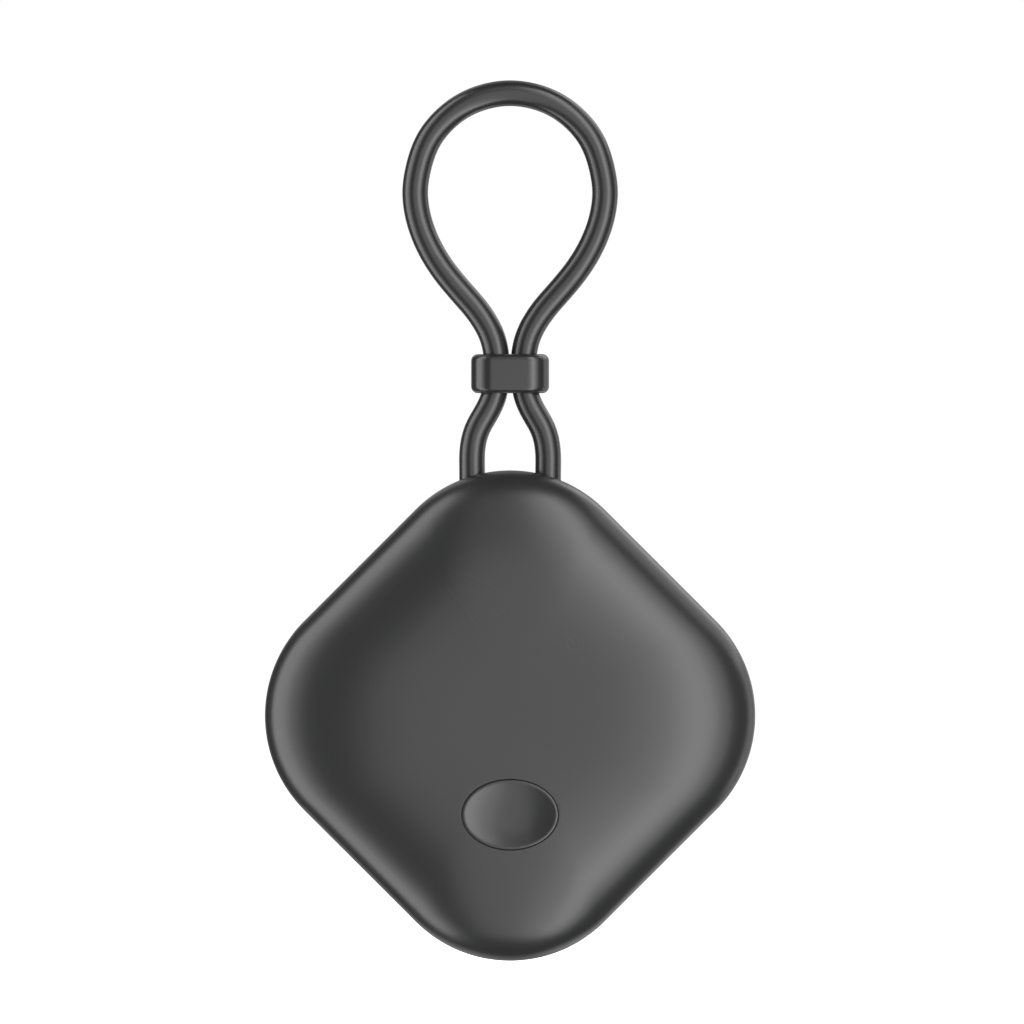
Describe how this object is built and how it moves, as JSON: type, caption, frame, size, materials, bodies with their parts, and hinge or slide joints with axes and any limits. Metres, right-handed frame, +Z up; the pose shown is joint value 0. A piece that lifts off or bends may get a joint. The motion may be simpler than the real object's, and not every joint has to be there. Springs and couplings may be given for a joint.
{
  "type": "bluetooth tracker tag",
  "caption": "Pillow-shaped rounded-square tracker tag, hung by one corner from a cord loop with a sliding collar, with a dished key on the front and a coin-cell door on the back.",
  "frame": {"origin": "the hang point: the inside of the cord loop's top, on the cord's centre plane", "axes": "+Z up, from the housing to the loop; the front with the key faces -Y, the battery door faces +Y, +X is to the right seen from the front"},
  "size_m": [0.04, 0.009, 0.0719],
  "materials": {
    "housing": "satin, very fine moulded texture",
    "key": "satin, smooth",
    "door": "satin, very fine moulded texture",
    "cord": "smooth satin silicone",
    "collar": "smooth satin",
    "boot_silicone": "translucent matt silicone",
    "seal_silicone": "matt silicone",
    "switch_black": "matt",
    "switch_white": "smooth",
    "spring_steel": "bright",
    "board_green": "solder mask over glass laminate",
    "chip_black": "matt epoxy",
    "crystal_lid": "plated",
    "component_ceramic": "fired, matt",
    "buzzer_brass": "rolled",
    "buzzer_ceramic": "silvered piezo ceramic",
    "gold_contact": "gold flash",
    "cell_steel": "nickel plated",
    "cradle_plastic": "moulded",
    "screw_steel": "zinc plated",
    "ferrule_brass": "crimped"
  },
  "bodies": {
    "housing": {"front_shell": "housing", "rear_shell": "housing", "key_boot": "boot_silicone", "switch_body": "switch_black", "switch_dome": "spring_steel", "main_board": "board_green", "radio_chip": "chip_black", "main_crystal": "crystal_lid", "sleep_crystal": "component_ceramic", "boost_inductor": "chip_black", "chip_antenna": "component_ceramic", "capacitor_1": "component_ceramic", "capacitor_2": "component_ceramic", "capacitor_3": "component_ceramic", "capacitor_4": "component_ceramic", "buzzer_plate": "buzzer_brass", "buzzer_ceramic": "buzzer_ceramic", "buzzer_contact_plate": "gold_contact", "buzzer_contact_ceramic": "gold_contact", "coin_cell": "cell_steel", "battery_cradle": "cradle_plastic", "contact_negative": "gold_contact", "contact_positive": "gold_contact", "cradle_screw_right": "screw_steel", "cradle_screw_bottom": "screw_steel", "cradle_screw_left": "screw_steel", "cord_loop": "cord", "cord_ferrule_left": "ferrule_brass", "cord_ferrule_right": "ferrule_brass"},
    "key": {"key_cap": "key"},
    "plunger": {"switch_plunger": "switch_white"},
    "door": {"battery_door": "door", "door_seal": "seal_silicone"},
    "collar": {"cord_collar": "collar"}
  },
  "joints": [
    {"name": "key_press", "type": "slide", "parent": "housing", "child": "key", "axis": [0, 1, 0], "range_m": [0, 0.0003], "stiffness_N_per_m": 1500, "springref_m": -0.0008, "deforming": ["key_boot", "switch_dome"]},
    {"name": "plunger_press", "type": "slide", "parent": "housing", "child": "plunger", "axis": [0, 1, 0], "range_m": [0, 0.0003]},
    {"name": "door_twist", "type": "hinge", "parent": "housing", "child": "door", "pos_m": [0, -0.00115, -0.04977], "axis": [0, 1, 0], "range_deg": [0, 30]},
    {"name": "collar_slide", "type": "slide", "parent": "housing", "child": "collar", "axis": [0, 0, 1], "range_m": [-0.002, 0.006], "deforming": ["cord_loop"]}
  ],
  "couplings": [
    {"joint": "plunger_press", "follows": "key_press", "ratio": 1}
  ]
}
